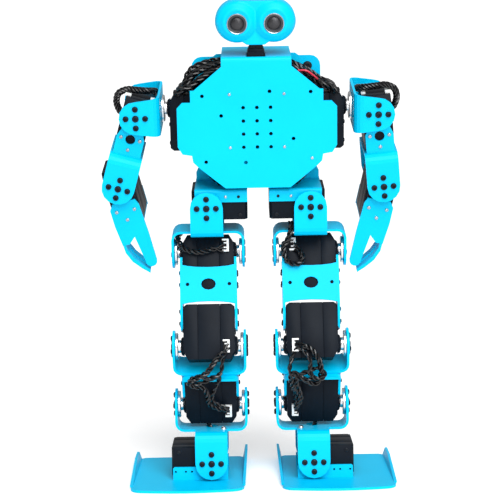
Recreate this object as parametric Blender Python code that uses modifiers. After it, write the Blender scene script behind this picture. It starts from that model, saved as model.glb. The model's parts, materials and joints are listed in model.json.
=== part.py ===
"""Humanoid robot kit: seventeen servos joined by folded sheet brackets, standing with bent knees.

Robot frame: +Z up, the robot faces -Y, +X is the robot's own left. Sizes below are millimetres.
Every joint has an empty on its axis, and the pieces that turn with it are parented to that empty.
"""

import math

import bmesh
import bpy
from mathutils import Matrix, Vector

MM = 0.001
SIDES = {"left": 1, "right": -1}

# Sheet brackets
SHEET = 1.8
EAR_RADIUS = 12.0
BEND = 5.0
GAP = 0.3
CABLE_HOLE_RADIUS = 5.0
CABLE_RADIUS = 1.7
BUNDLE_RADIUS = 3.0

# Standard servo: measured from its output shaft
SERVO_NEAR = 11.0
SERVO_FAR = 30.0
SERVO_WIDTH = 21.0
SERVO_DEPTH = 38.0
SERVO_CHAMFER = 5.0
BOSS_RADIUS = 7.0
BOSS_HEIGHT = 2.0
HORN_RADIUS = 10.0
HORN_SCREW_CIRCLE = 7.0
EAR_INSIDE = 25.4
EAR_OUTSIDE = EAR_INSIDE + SHEET
CASE_INSIDE = SERVO_DEPTH / 2 + GAP
CASE_OUTSIDE = CASE_INSIDE + SHEET
CASE_FRONT = SERVO_WIDTH / 2 + GAP

# Distances between joint axes
ROLL_TO_PITCH = 40.0
ROLL_TO_WEB = 21.0
KNEE_TO_WEB = 16.2
THIGH = 71.3
SHIN = KNEE_TO_WEB + 2 * SHEET + 2 * GAP + SERVO_FAR + 0.1
UPPER_ARM = 55.0
HIP_HALF = 38.0
ANKLE_ROLL_HEIGHT = 15.0

# Stance, in degrees: a positive lean turns a link's top towards the robot's front
SHIN_LEAN = 22.0
THIGH_LEAN = -15.4
TORSO_LEAN = 11.0
ARM_SWING = 6.0
UPPER_ARM_OUT = {"left": 5.0, "right": 16.0}
FOREARM_IN = {"left": 16.7, "right": 29.3}

# The ankle-pitch axis, measured from the middle of the standing robot's outline
MIDDLE_X = 5.3
MIDDLE_Y = 6.5

# Torso, measured from the hip-roll axes: x outwards, y forwards is negative, z up
CHEST_FRONT = 27.0
CHEST_BOTTOM = 15.0
CHEST_TOP = 110.0
TOP_FLANGE_DEPTH = 60.0
BACK_PLATE_FRONT = -10.8
STANDOFF_X = 19.5
STANDOFF_HEIGHTS = (45.0, 83.6)
STANDOFF_RADIUS = 3.0
SHOULDER_HEIGHT = 70.0
SHOULDER_FACE = 63.4
SHOULDER_ROLL_X = 87.0
SHOULDER_WEB_X = 69.65
HEAD_AXIS_FORWARD = 16.0
HEAD_SERVO_TOP = 113.0
HEAD_CENTRE = 134.7
EYE_X = 13.0
EYE_RADIUS = 8.0
EYE_HEIGHT = -1.0
LOBE_RADIUS = 15.7

# Foot
SOLE_INNER = -24.0
SOLE_OUTER = 59.0
SOLE_FRONT = 49.0
SOLE_BACK = 51.0

CYAN = (0.0, 0.72, 0.95, 1.0)
SLATE = (0.028, 0.035, 0.045, 1.0)
SILVER = (0.75, 0.76, 0.78, 1.0)
BLACK = (0.01, 0.01, 0.012, 1.0)
GREEN = (0.02, 0.12, 0.06, 1.0)

FRONT_VIEW = Matrix(((1, 0, 0), (0, 0, -1), (0, 1, 0))).to_4x4()
SIDE_VIEW = Matrix(((0, 0, 1), (1, 0, 0), (0, 1, 0))).to_4x4()
PLAN_VIEW = Matrix.Identity(4)


# ---------------------------------------------------------------- scene and materials

def clear_scene():
    for item in list(bpy.data.objects):
        bpy.data.objects.remove(item, do_unlink=True)


def new_collection(name):
    collection = bpy.data.collections.new(name)
    bpy.context.scene.collection.children.link(collection)
    return collection


def material(name, colour, roughness, metallic):
    made = bpy.data.materials.new(name)
    made.use_nodes = True
    shader = made.node_tree.nodes["Principled BSDF"]
    shader.inputs["Base Color"].default_value = colour
    shader.inputs["Roughness"].default_value = roughness
    shader.inputs["Metallic"].default_value = metallic
    return made


clear_scene()
PARTS = new_collection("humanoid_robot_kit")
MATERIALS = {
    "anodised_cyan": material("anodised_cyan", CYAN, 0.4, 0.2),
    "servo_plastic": material("servo_plastic", SLATE, 0.45, 0.0),
    "bright_steel": material("bright_steel", SILVER, 0.3, 1.0),
    "cable_black": material("cable_black", BLACK, 0.5, 0.0),
    "board_green": material("board_green", GREEN, 0.5, 0.0),
}


# ---------------------------------------------------------------- basic shapes
# Solids are made in millimetres about their own origin, and finish() brings them to metres.

def tidy(mesh):
    """Welds a mesh's doubled points, merges its flat faces and turns them outwards."""
    shape = bmesh.new()
    shape.from_mesh(mesh)
    bmesh.ops.remove_doubles(shape, verts=shape.verts, dist=0.001)
    bmesh.ops.dissolve_limit(shape, angle_limit=0.002, verts=shape.verts, edges=shape.edges)
    bmesh.ops.recalc_face_normals(shape, faces=shape.faces)
    shape.to_mesh(mesh)
    shape.free()


def add_object(name, mesh):
    made = bpy.data.objects.new(name, mesh)
    PARTS.objects.link(made)
    return made


def prism(loops, view, low, high):
    """An outline, with any holes as further loops, drawn in a view and extruded from low to high.

    The front view draws x and z and extrudes along y, the side view draws y and z and
    extrudes along x, and the plan view draws x and y and extrudes along z.
    """
    curve = bpy.data.curves.new("outline", "CURVE")
    curve.dimensions = "2D"
    curve.fill_mode = "BOTH"
    curve.extrude = (high - low) / 2
    for loop in loops:
        spline = curve.splines.new("POLY")
        spline.points.add(len(loop) - 1)
        for point, (across, up) in zip(spline.points, loop):
            point.co = (across, up, 0, 1)
        spline.use_cyclic_u = True
    drawn = add_object("outline", curve)
    graph = bpy.context.evaluated_depsgraph_get()
    mesh = bpy.data.meshes.new_from_object(drawn.evaluated_get(graph))
    bpy.data.objects.remove(drawn, do_unlink=True)
    middle = (low + high) / 2
    if view is FRONT_VIEW:
        middle = -middle
    mesh.transform(view @ Matrix.Translation((0, 0, middle)))
    tidy(mesh)
    return add_object("prism", mesh)


def cylinder(radius, start, end, segments=12):
    """A cylinder between two points."""
    start, end = Vector(start), Vector(end)
    shape = bmesh.new()
    bmesh.ops.create_cone(
        shape,
        cap_ends=True,
        segments=segments,
        radius1=radius,
        radius2=radius,
        depth=(end - start).length,
    )
    turn = (end - start).to_track_quat("Z", "Y").to_matrix().to_4x4()
    bmesh.ops.transform(shape, matrix=Matrix.Translation((start + end) / 2) @ turn, verts=shape.verts)
    mesh = bpy.data.meshes.new("cylinder")
    shape.to_mesh(mesh)
    shape.free()
    return add_object("cylinder", mesh)


def block(low, high):
    low, high = Vector(low), Vector(high)
    shape = bmesh.new()
    bmesh.ops.create_cube(shape, size=1.0)
    size = Matrix.Diagonal((high - low).to_4d())
    size[3][3] = 1.0
    bmesh.ops.transform(shape, matrix=Matrix.Translation((low + high) / 2) @ size, verts=shape.verts)
    mesh = bpy.data.meshes.new("block")
    shape.to_mesh(mesh)
    shape.free()
    return add_object("block", mesh)


def turned(profile, centre, steps):
    """A solid of revolution whose axis points forwards: the profile lists (radius, forwards), front first."""
    mesh = bpy.data.meshes.new("profile")
    points = [(radius, 0, forwards) for radius, forwards in profile]
    mesh.from_pydata(points, [(i, i + 1) for i in range(len(points) - 1)], [])
    made = add_object("turned", mesh)
    screw = made.modifiers.new("screw", "SCREW")
    screw.steps = screw.render_steps = steps
    screw.use_merge_vertices = True
    screw.merge_threshold = 0.0001
    graph = bpy.context.evaluated_depsgraph_get()
    made.data = bpy.data.meshes.new_from_object(made.evaluated_get(graph))
    made.modifiers.clear()
    made.data.transform(Matrix.Translation(centre) @ Matrix.Rotation(math.pi / 2, 4, "X"))
    tidy(made.data)
    return made


def boolean(target, tools, operation, solver="EXACT"):
    """Applies each tool to the target in turn, and removes the tools."""
    for tool in tools:
        modifier = target.modifiers.new("boolean", "BOOLEAN")
        modifier.operation = operation
        modifier.solver = solver
        modifier.object = tool
        graph = bpy.context.evaluated_depsgraph_get()
        mesh = bpy.data.meshes.new_from_object(target.evaluated_get(graph))
        target.modifiers.clear()
        target.data = mesh
        bpy.data.objects.remove(tool, do_unlink=True)
    return target


def join(target, *tools):
    return boolean(target, tools, "UNION")


def cut(target, *tools):
    return boolean(target, tools, "DIFFERENCE")


def keep(target, *tools):
    return boolean(target, tools, "INTERSECT")


def arc(centre, radius, start, end, steps=4):
    """Points from one angle to another, in degrees, both included."""
    angles = [math.radians(start + (end - start) * i / steps) for i in range(steps + 1)]
    return [(centre[0] + radius * math.cos(a), centre[1] + radius * math.sin(a)) for a in angles]


def circle(x, y, radius, segments=10):
    return arc((x, y), radius, 0, 360 * (segments - 1) / segments, segments - 1)


def mirrored(half):
    """A closed outline from its right half, listed from the bottom up."""
    return half + [(-x, y) for x, y in reversed(half)]


def finish(item, name, surface, parent, turn=None, at=(0, 0, 0)):
    """Names a finished solid, gives it its material and hangs it on its parent."""
    item.name = name
    item.data.name = name
    item.data.transform(Matrix.Scale(MM, 4))
    place(item, parent, at, turn)
    item.data.materials.clear()
    item.data.materials.append(MATERIALS[surface])
    item.data.shade_smooth()
    item.data.set_sharp_from_angle(angle=math.radians(35))
    return item


def place(item, parent, at, turn=None):
    item.parent = parent
    item.location = Vector(at) * MM
    item.rotation_euler = turn or (0, 0, 0)


def empty(name, parent, at=(0, 0, 0), turn=(0, 0, 0)):
    made = bpy.data.objects.new(name, None)
    made.empty_display_size = 0.01
    PARTS.objects.link(made)
    place(made, parent, at, [math.radians(a) for a in turn])
    return made


# ---------------------------------------------------------------- shared shapes

def u_section(inside, web):
    """The section of a sheet bent to a U around the origin: its web's inner face lies at -web."""
    outside, outer = inside + SHEET, BEND + SHEET
    right = arc((inside - BEND, -web + BEND), outer, -90, 0)
    left = arc((-inside + BEND, -web + BEND), outer, 180, 270)
    inner_left = arc((-inside + BEND, -web + BEND), BEND, 270, 180)
    inner_right = arc((inside - BEND, -web + BEND), BEND, 0, -90)
    top = EAR_RADIUS + 1
    return right + [(outside, top), (inside, top)] + inner_right + inner_left + [
        (-inside, top), (-outside, top)] + left


def cap_section(inside, top, bottom, bend):
    """The section of a sheet bent over the origin like a lid: its upper face is at top, its edges at bottom."""
    outside, outer = inside + SHEET, bend + SHEET
    across, up = inside - bend, top - outer
    return (
        [(outside, bottom)] + arc((across, up), outer, 0, 90) + arc((-across, up), outer, 90, 180)
        + [(-outside, bottom), (-inside, bottom)]
        + arc((-across, up), bend, 180, 90) + arc((across, up), bend, 90, 0) + [(inside, bottom)]
    )


def ear_outline(web, foot=EAR_RADIUS):
    """A tab that is round about the origin and runs down to the web."""
    bottom = -web - SHEET - 1
    return arc((0, 0), EAR_RADIUS, 0, 180, 8) + [(-foot, bottom), (foot, bottom)]


def ear_holes(radius=1.5):
    spots = [(0, 0)] + circle(0, 0, HORN_SCREW_CIRCLE, 4)
    return [circle(x, z, radius, 6) for x, z in spots]


def front_back_u(web, holes=True):
    """A U whose ears stand in front of and behind the origin, with its web below."""
    section = prism([u_section(EAR_INSIDE, web)], SIDE_VIEW, -2 * EAR_RADIUS, 2 * EAR_RADIUS)
    tab = [ear_outline(web)] + (ear_holes() if holes else [])
    return keep(section, prism(tab, FRONT_VIEW, -EAR_OUTSIDE - 1, EAR_OUTSIDE + 1))


def left_right_u(web):
    """A U whose ears stand on either side of the origin, with its web below."""
    section = prism([u_section(EAR_INSIDE, web)], FRONT_VIEW, -2 * EAR_RADIUS, 2 * EAR_RADIUS)
    return keep(section, prism([ear_outline(web)], SIDE_VIEW, -EAR_OUTSIDE - 1, EAR_OUTSIDE + 1))


def cross_bracket():
    """Ears up around the roll servo at the origin, ears down around the pitch servo below it."""
    upper = front_back_u(ROLL_TO_WEB)
    lower = left_right_u(ROLL_TO_PITCH - ROLL_TO_WEB - SHEET)
    lower.data.transform(Matrix.Translation((0, 0, -ROLL_TO_PITCH)) @ Matrix.Rotation(math.pi, 4, "Y"))
    cable_hole = cylinder(CABLE_HOLE_RADIUS, (0, 0, -ROLL_TO_WEB - 5), (0, 0, -ROLL_TO_WEB + 3))
    return cut(join(upper, lower), cable_hole)


def servo_case():
    """A servo about its shaft: the shaft runs along y and the long end is up."""
    half, far = SERVO_WIDTH / 2, SERVO_FAR
    profile = mirrored(
        [(half - 1, -SERVO_NEAR), (half, -SERVO_NEAR + 1)]
        + arc((half - SERVO_CHAMFER, far - SERVO_CHAMFER), SERVO_CHAMFER, 0, 90, 3)
    )
    case = prism([profile], FRONT_VIEW, -SERVO_DEPTH / 2, SERVO_DEPTH / 2)
    depth = SERVO_DEPTH / 2
    taper = mirrored([(depth - 3.5, -SERVO_NEAR - 1), (depth - 3.5, -SERVO_NEAR), (depth, -5), (depth, far - 2),
                      (depth - 2.5, far + 0.5)])
    case = keep(case, prism([taper], SIDE_VIEW, -half - 1, half + 1))
    reach = SERVO_DEPTH / 2 + BOSS_HEIGHT
    return join(case, cylinder(BOSS_RADIUS, (0, -reach, 0), (0, reach, 0)))


def horn():
    """The output disc in front of a servo, with the five screws that go through a bracket's ear."""
    boss_face = -(SERVO_DEPTH / 2 + BOSS_HEIGHT + GAP)
    disc = cylinder(HORN_RADIUS, (0, boss_face, 0), (0, -EAR_INSIDE + GAP, 0))
    head_start = -EAR_OUTSIDE - GAP
    for x, z in [(0, 0)] + circle(0, 0, HORN_SCREW_CIRCLE, 4):
        shank = cylinder(1.1, (x, boss_face - 1, z), (x, head_start - 0.8, z), 6)
        head = cylinder(2.4, (x, head_start, z), (x, head_start - 1.6, z), 6)
        disc = join(disc, join(shank, head))
    return disc


def sided(item, side):
    """A left piece as it is, or mirrored for the right."""
    if side < 0:
        item.data.transform(Matrix.Diagonal((-1, 1, 1, 1)))
        item.data.flip_normals()
    return item


def shared(name, make):
    """A master solid whose mesh several sub-parts reuse."""
    item = make()
    mesh = item.data
    mesh.name = name
    bpy.data.objects.remove(item, do_unlink=True)
    return mesh


def copy_of(mesh):
    return add_object(mesh.name, mesh.copy())


# ---------------------------------------------------------------- legs

def thigh_bracket():
    """A channel that holds the hip servo's and the knee servo's long ends, open at the back."""
    width, sag = CASE_OUTSIDE, 3.2
    low, high = 28.6 - THIGH, 60.5 - THIGH
    bow = [(width * math.cos(math.pi * i / 8), math.sin(math.pi * i / 8)) for i in range(9)]
    front = [(x, low + sag * rise) for x, rise in reversed(bow)] + [(x, high - sag * rise) for x, rise in bow]
    hole_height = 44.6 - THIGH
    holes = [[(5.5 * math.cos(a), hole_height + 4.35 * math.sin(a)) for a in
              [2 * math.pi * i / 12 for i in range(12)]]]
    holes += [circle(x, hole_height, 1.5, 6) for x in (-15.5, 15.5)]
    bracket = prism([front] + holes, FRONT_VIEW, -CASE_FRONT - SHEET, -CASE_FRONT)
    back = SERVO_WIDTH / 2 - 1
    flange = [(-CASE_FRONT - SHEET, low), (-6, 11.2 - THIGH), (6, 11.2 - THIGH), (back, low - 6),
              (back, high - 2), (7, -7.5), (3, -10.8), (-3, -10.8), (-CASE_FRONT - SHEET + 2, -6), (-CASE_FRONT - SHEET, high)]
    for side in (-1, 1):
        inner, outer = sorted((side * CASE_INSIDE, side * CASE_OUTSIDE))
        bracket = join(bracket, prism([flange], SIDE_VIEW, inner, outer))
    return bracket


def shin_bracket():
    """A channel that opens downwards over the ankle servo, its web bolted under the knee bracket."""
    top = -KNEE_TO_WEB - SHEET - GAP
    bottom, lip, back = top - 23, -17.5, SERVO_WIDTH / 2
    channel = prism([cap_section(CASE_INSIDE, top, bottom - 1, 2.0)], FRONT_VIEW, lip - 1, back + 1)
    side = [(lip, top + 1), (lip, top - SHEET), (-CASE_FRONT, top - 7), (-9, bottom + 3), (-6, bottom),
            (6, bottom), (back, bottom + 4), (back, top + 1)]
    return keep(channel, prism([side], SIDE_VIEW, -CASE_OUTSIDE - 1, CASE_OUTSIDE + 1))


def foot_plate():
    """The left sole with turned-up side walls and a low bracket in front of and behind the roll servo.

    Its frame is the ankle-roll axis, with x outwards.
    """
    ground = -ANKLE_ROLL_HEIGHT
    inner, outer, corner = SOLE_INNER, SOLE_OUTER, 9.0
    front, back = -SOLE_FRONT, SOLE_BACK
    bow = 3.0
    middle, reach = (inner + outer) / 2, (outer - inner) / 2 - corner
    front_edge = [(middle + reach * t, front - bow * (1 - t * t)) for t in (-0.8, -0.4, 0, 0.4, 0.8)]
    outline = (
        arc((inner + corner, front + corner), corner, 180, 262) + front_edge
        + arc((outer - corner, front + corner), corner, 278, 360)
        + [(outer, back - 4), (outer - 4, back), (inner + 4, back), (inner, back - 4)]
    )
    sole = prism([outline], PLAN_VIEW, ground, ground + SHEET)
    for edge, away, height in ((outer, 1, 7.5), (inner, -1, 12.0)):
        sole = join(sole, side_wall(edge, away, height))
    holder = [
        (-12.0, ground + 0.4), (29.0, ground + 0.4), (29.0, -4.6), (28.0, -3.6), (8.6, -3.6), (7.2, -7.6),
        (-7.2, -7.6), (-8.6, -3.6), (-12.0, -3.6),
    ]
    holes = [circle(x, -7.0, 0.9, 6) for x in (27.0, 19.5, 15.0)]
    for low, high in ((-CASE_OUTSIDE, -CASE_INSIDE), (CASE_INSIDE, CASE_OUTSIDE)):
        sole = join(sole, prism([holder] + holes, FRONT_VIEW, low, high))
    return sole


def side_wall(edge, away, height):
    """A wall that leans outwards along one edge of the sole and gets lower towards the toe."""
    floor, lean = -ANKLE_ROLL_HEIGHT, 2.5
    foot, top = floor + 0.2, floor + height
    start, end = -SOLE_FRONT + 12, SOLE_BACK - 3
    section = [
        (edge - away * 3, foot), (edge - away * 0.2, foot), (edge + away * 0.8, foot + 1.2),
        (edge + away * lean, top), (edge + away * (lean - SHEET), top),
        (edge - away * 1.4, floor + SHEET - 0.1), (edge - away * 3, floor + SHEET - 0.1),
    ]
    wall = prism([section], FRONT_VIEW, start - 1, end + 1)
    slope = [(start, foot - 1), (start, floor + SHEET + 0.4), (end - 9, top + 1), (end, top + 1), (end, foot - 1)]
    low, high = sorted((edge - away * 5, edge + away * 5))
    return keep(wall, prism([slope], SIDE_VIEW, low, high))


# ---------------------------------------------------------------- torso and head

CHEST_HALF = [
    (23.5, CHEST_BOTTOM), (43.0, 31.0), (46.5, 34.5), (47.3, 39.4), (54.0, 40.5), (57.3, 46.0), (57.3, 74.0),
    (53.5, 78.0), (47.5, 78.0), (47.5, 86.6), (45.0, 86.6), (25.0, 103.3), (25.0, CHEST_TOP + 1.0),
]
CHEST_GRID_X = (-9.8, 0.0, 9.8)
CHEST_GRID_Z = (45.1, 54.7, 64.2, 73.9)
CHEST_HOLES = [(9.2, 85.4), (-39.0, 82.6), (38.5, 84.7), (-25.6, 68.2), (26.0, 50.9), (-8.5, 33.9), (-37.2, 34.6)]


def chest_plate():
    """The front plate with its hole pattern, folded back along the top, and four standoffs behind it."""
    front, back, under = -CHEST_FRONT, -CHEST_FRONT + TOP_FLANGE_DEPTH, CHEST_TOP - SHEET
    bend, base = 1.2, CHEST_BOTTOM - 1
    corner = (front + SHEET + bend, under - bend)
    fold = (
        [(front, base)] + arc(corner, bend + SHEET, 180, 90) + [(back, CHEST_TOP), (back, under)]
        + arc(corner, bend, 90, 180) + [(front + SHEET, base)]
    )
    sheet = prism([fold], SIDE_VIEW, -60, 60)
    holes = [circle(x, z, 1.5, 6) for x in CHEST_GRID_X for z in CHEST_GRID_Z]
    holes += [circle(x, z, 1.5, 6) for x, z in CHEST_HOLES]
    plate = keep(sheet, prism([mirrored(CHEST_HALF)] + holes, FRONT_VIEW, front - 1, back + 1))
    plate = cut(plate, block((-6.8, front + 2.6, under - 2), (6.8, -0.5, CHEST_TOP + 1)))
    for x in (-STANDOFF_X, STANDOFF_X):
        for z in STANDOFF_HEIGHTS:
            plate = join(plate, cylinder(STANDOFF_RADIUS, (x, front + 1, z), (x, -BACK_PLATE_FRONT - GAP, z), 8))
    return plate


def back_plate():
    """The plate behind the shoulder servos, with its rounded shoulders."""
    half = [(30.0, 14.0), (47.5, 30.0), (47.5, 94.0)] + arc((40.0, 98.2), 7.5, 0, 90) + [(31.6, 105.7), (29.0, 107.6)]
    slots = [circle(x, z, 3.0, 8) for x in (-38.0, 38.0) for z in (28.0, 98.0)]
    return prism([mirrored(half)] + slots, FRONT_VIEW, -BACK_PLATE_FRONT, -BACK_PLATE_FRONT + SHEET)


def pelvis_bracket():
    """One sheet over both hip-roll servos: a tray and two flanges a side, and a bridge up the back."""
    inner, outer = 8.0, 46.5
    low = SERVO_WIDTH / 2 + GAP
    rear = -BACK_PLATE_FRONT + SHEET + GAP
    right = [(inner + 0.4, 17.0), (inner + 0.4, low + 0.5), (outer - 0.4, low + 0.5), (outer - 0.4, 18.5), (43.5, 24.0)]
    holes = [circle(x, 20.5, 1.2, 8) for x in (-36.0, 36.0)]
    bracket = prism([mirrored(right)] + holes, FRONT_VIEW, rear, rear + SHEET)
    section = cap_section(CASE_INSIDE, low + SHEET, 3.2, 0.6)
    for side in SIDES.values():
        tray = prism([section], SIDE_VIEW, *sorted((side * inner, side * outer)))
        shaft = side * HIP_HALF
        tray = cut(tray, cylinder(BOSS_RADIUS + 0.5, (shaft, -EAR_INSIDE, 0), (shaft, EAR_INSIDE, 0)))
        bracket = join(bracket, tray)
    return bracket


def controller_board():
    board = block((-16, -4.0, 36), (16, -2.4, 86))
    return join(board, block((-11, -9, 52), (11, -3, 72)))


def battery_pack():
    low = -BACK_PLATE_FRONT + SHEET + GAP
    pack = block((-24, low, 34), (24, low + 16, 102))
    bevel = pack.modifiers.new("round", "BEVEL")
    bevel.width = 2 * MM
    bevel.segments = 1
    return pack


def head_servo():
    """The small servo in the chest's top flange, with its gear boss up."""
    front = -23.6
    case = block((-6.2, front, 92), (6.2, front + 22.5, HEAD_SERVO_TOP))
    neck = cylinder(5.4, (0, -HEAD_AXIS_FORWARD, HEAD_SERVO_TOP - 1), (0, -HEAD_AXIS_FORWARD, HEAD_SERVO_TOP + 3.5))
    return join(case, neck)


def head_shell():
    """Two round goggle lobes with a bridge and chin between them, hollow from behind.

    The lobes' many facets meet the bridge at grazing angles, which the exact solver can't close.
    """
    rim = [(0.0, 13.0), (11.4, 13.0), (14.0, 11.8), (15.4, 9.2), (LOBE_RADIUS, 6.0), (LOBE_RADIUS, -13.0), (0.0, -13.0)]
    shell, other = [turned(rim, (x, 0, 0), 28) for x in (-EYE_X, EYE_X)]
    half = [(6.5, -17.2), (10.5, -14.5), (14.0, -12.0), (14.0, 12.0), (8.0, 14.6)]
    bridge = prism([mirrored(half)], FRONT_VIEW, -8.0, 12.4)
    shell = boolean(shell, (other, bridge), "UNION", "MANIFOLD")
    hollow = prism([stadium(EYE_X, 13.0)], FRONT_VIEW, -7.0, 15.0)
    eyes = [cylinder(EYE_RADIUS + GAP, (x, -16, EYE_HEIGHT), (x, -4, EYE_HEIGHT), 20) for x in (-EYE_X, EYE_X)]
    return boolean(shell, [hollow] + eyes, "DIFFERENCE", "MANIFOLD")


def ultrasonic_sensor():
    """Two round transducers that look out of the face, on the module that fills the head."""
    module = prism([stadium(EYE_X, 13.0 - GAP)], FRONT_VIEW, -7.0 + GAP, 11.0)
    return join(module, *[cylinder(EYE_RADIUS, (x, -12.2, EYE_HEIGHT), (x, -3, EYE_HEIGHT), 20) for x in (-EYE_X, EYE_X)])


def stadium(centre, radius):
    return arc((centre, 0), radius, -90, 90, 10) + arc((-centre, 0), radius, 90, 270, 10)


# ---------------------------------------------------------------- arms

def shoulder_bracket():
    """The left U on the shoulder-pitch horn, its ears reaching outwards to the shoulder-roll axis."""
    web = SHOULDER_ROLL_X - SHOULDER_WEB_X - SHEET
    section = prism([u_section(EAR_INSIDE, web)], SIDE_VIEW, -2 * EAR_RADIUS, 2 * EAR_RADIUS)
    tab = [ear_outline(web, 14.5)] + ear_holes()
    bracket = keep(section, prism(tab, FRONT_VIEW, -EAR_OUTSIDE - 1, EAR_OUTSIDE + 1))
    bracket.data.transform(Matrix.Rotation(math.pi / 2, 4, "Y"))
    return bracket


def upper_arm_bracket():
    """Plates up the shoulder-roll servo's front and back, a web under it, and ears down to the elbow."""
    web_top = -SERVO_FAR - GAP
    ears = front_back_u(UPPER_ARM + web_top - SHEET)
    ears.data.transform(Matrix.Translation((0, 0, -UPPER_ARM)) @ Matrix.Rotation(math.pi, 4, "Y"))
    half, low, high = 10.2, web_top - SHEET, -8.0
    section = [(-CASE_OUTSIDE, low), (CASE_OUTSIDE, low), (CASE_OUTSIDE, high), (CASE_INSIDE, high),
               (CASE_INSIDE, web_top), (-CASE_INSIDE, web_top), (-CASE_INSIDE, high), (-CASE_OUTSIDE, high)]
    channel = prism([section], SIDE_VIEW, -half, half)
    plate = [(half, low - 1), (half, -17.0), (6.5, high), (-6.5, high), (-half, -17.0), (-half, low - 1)]
    channel = keep(channel, prism([plate, circle(0, -18.0, 3.7, 12)], FRONT_VIEW, -CASE_OUTSIDE - 1, CASE_OUTSIDE + 1))
    return join(ears, channel)


def hand():
    """The left plate on the elbow servo, with a straight inner finger and a forked, folded outer thumb.

    Its frame is the elbow axis, with x outwards.
    """
    palm = (
        [(-8.5, -12.5), (8.5, -12.5), (11.5, -17.0), (11.5, -30.0), (10.0, -46.0), (4.6, -46.0), (-0.5, -41.0),
         (-3.2, -62.0)] + arc((-7.4, -63.0), 4.2, 0, -180, 6) + [(-11.5, -40.0), (-10.5, -17.0)]
    )
    back = [(-8.5, -12.5), (8.5, -12.5), (10.5, -17.0), (10.5, -31.8), (-10.5, -31.8), (-10.5, -17.0)]
    web_top = -SERVO_FAR - GAP
    plate = prism([palm], FRONT_VIEW, -CASE_OUTSIDE, -CASE_INSIDE)
    plate = join(plate, prism([back], FRONT_VIEW, CASE_INSIDE, CASE_OUTSIDE))
    plate = join(plate, block((-10.0, -CASE_INSIDE - 0.4, web_top - SHEET), (10.0, CASE_INSIDE + 0.4, web_top)))
    return join(plate, thumb())


def thumb():
    """Two curved prongs folded back from the palm's outer edge."""
    outer_edge = [(9.9, -43.0), (9.6, -52.0), (6.5, -60.0), (1.0, -67.0), (-4.0, -72.0)]
    inner_edge = [(-4.6, -69.8), (0.0, -64.5), (4.4, -58.4), (7.6, -50.6), (8.0, -43.0)]
    strip = prism([outer_edge + inner_edge], FRONT_VIEW, -CASE_OUTSIDE + 0.2, -3)
    fork = [(-CASE_OUTSIDE, -40), (-2, -40), (-2, -60), (-7, -74), (-10, -74), (-10, -52), (-14, -52), (-14, -74),
            (-CASE_OUTSIDE, -74)]
    return keep(strip, prism([fork], SIDE_VIEW, -20, 20))


# ---------------------------------------------------------------- cables

def cable(name, points, radius, parent):
    """A round tube along a smooth line through the points, in its parent's frame."""
    curve = bpy.data.curves.new(name, "CURVE")
    curve.dimensions = "3D"
    curve.bevel_depth = radius * MM
    curve.bevel_resolution = 1
    curve.use_fill_caps = True
    line = smooth_line([Vector(p) for p in points], 5 * radius)
    spline = curve.splines.new("POLY")
    spline.points.add(len(line) - 1)
    for point, spot in zip(spline.points, line):
        point.co = (*(spot * MM), 1)
    made = add_object(name, curve)
    place(made, parent, (0, 0, 0))
    curve.materials.append(MATERIALS["cable_black"])
    return made


def smooth_line(points, spacing):
    """Points along a Catmull-Rom curve through the given ones, about this far apart."""
    ends = [2 * points[0] - points[1]] + points + [2 * points[-1] - points[-2]]
    line = [points[0]]
    for before, start, end, after in zip(ends, ends[1:], ends[2:], ends[3:]):
        steps = max(1, round((end - start).length / spacing))
        for i in range(1, steps + 1):
            t = i / steps
            line.append(0.5 * (
                2 * start + (end - before) * t + (2 * before - 5 * start + 4 * end - after) * t * t
                + (3 * start - before - 3 * end + after) * t ** 3
            ))
    return line


# Routes have x outwards and are measured from the hip-pitch axis, the shoulder-roll axis, the
# ankle-pitch axis and the hip-roll line. The knee's are in the robot's own frame.
HIP_ROUTES = {
    "left": [(-11.9, -12.6, 3.8), (-7.5, -15, 0), (-5.6, -17, -5), (-9.5, -18.4, -8.6), (-15.5, -18.4, -7.6),
             (-19.4, -17.5, -1.5), (-19.4, -17, 4.5), (-16.4, -17.6, 10), (-14.5, -18.2, 16), (-14.2, -19, 23)],
    "right": [(-11.5, -12.6, 3.8), (-3, -14, 2.8), (5.6, -14.3, 1), (14, -14, 2), (19.6, -13.2, 5.6),
              (22.2, -8, 10.8), (22.3, -1, 13.2), (22.2, 5, 13.4), (21.6, 11, 13)],
}
KNEE_ROUTES = {
    "left": [(25.6, -31.2, 102.5), (33.3, -34.5, 103), (40, -36, 97), (43.4, -35.5, 88.4), (43.2, -33.5, 80),
             (39.2, -31.5, 74.5), (32, -32.5, 77.5), (24.6, -34.5, 83), (21.4, -34, 79.6), (24, -27.5, 70.5),
             (27.5, -20.5, 61.5), (25.6, -14, 53.2)],
    "right": [(-23.8, -31.2, 102.5), (-32, -36, 95.5), (-40.2, -36, 84.5), (-49.8, -34, 79.5), (-53.4, -31.5, 76.5),
              (-49.5, -30, 73.5), (-43.5, -28.5, 72.5), (-40.2, -24.5, 66.5), (-39, -19.5, 58.6), (-32, -16.5, 54.2),
              (-24.6, -14, 53)],
}
ARM_ROUTE = [(12.5, -6, 9.5), (14.8, -7, 14), (12.8, -8, 19.5), (6, -8.5, 22.4), (-1, -8.5, 21.4), (-7, -8, 19),
             (-12, -6, 16.8), (-13.2, 0, 13.4), (-13.2, 3, 11.6)]
ANKLE_ROUTE = [(2.9, -0.6, -13.6), (2.2, -0.3, -16), (1.4, 0, -18.5), (1.4, 1, -24), (2.0, 1.5, -29.1)]
TORSO_ROUTE = [(19, -2, 103.5), (26, -3, 102), (34, -5, 96.5), (42, -7.5, 90.5), (49, -9.5, 86.5), (55, -9.0, 84.4)]


def outwards(route, side):
    return [(side * x, y, z) for x, y, z in route]


# ---------------------------------------------------------------- assembly

def link_offset(length, lean):
    """How far a link's top stands in front of and above its foot."""
    angle = math.radians(lean)
    return Vector((0, -length * math.sin(angle), length * math.cos(angle)))


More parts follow.
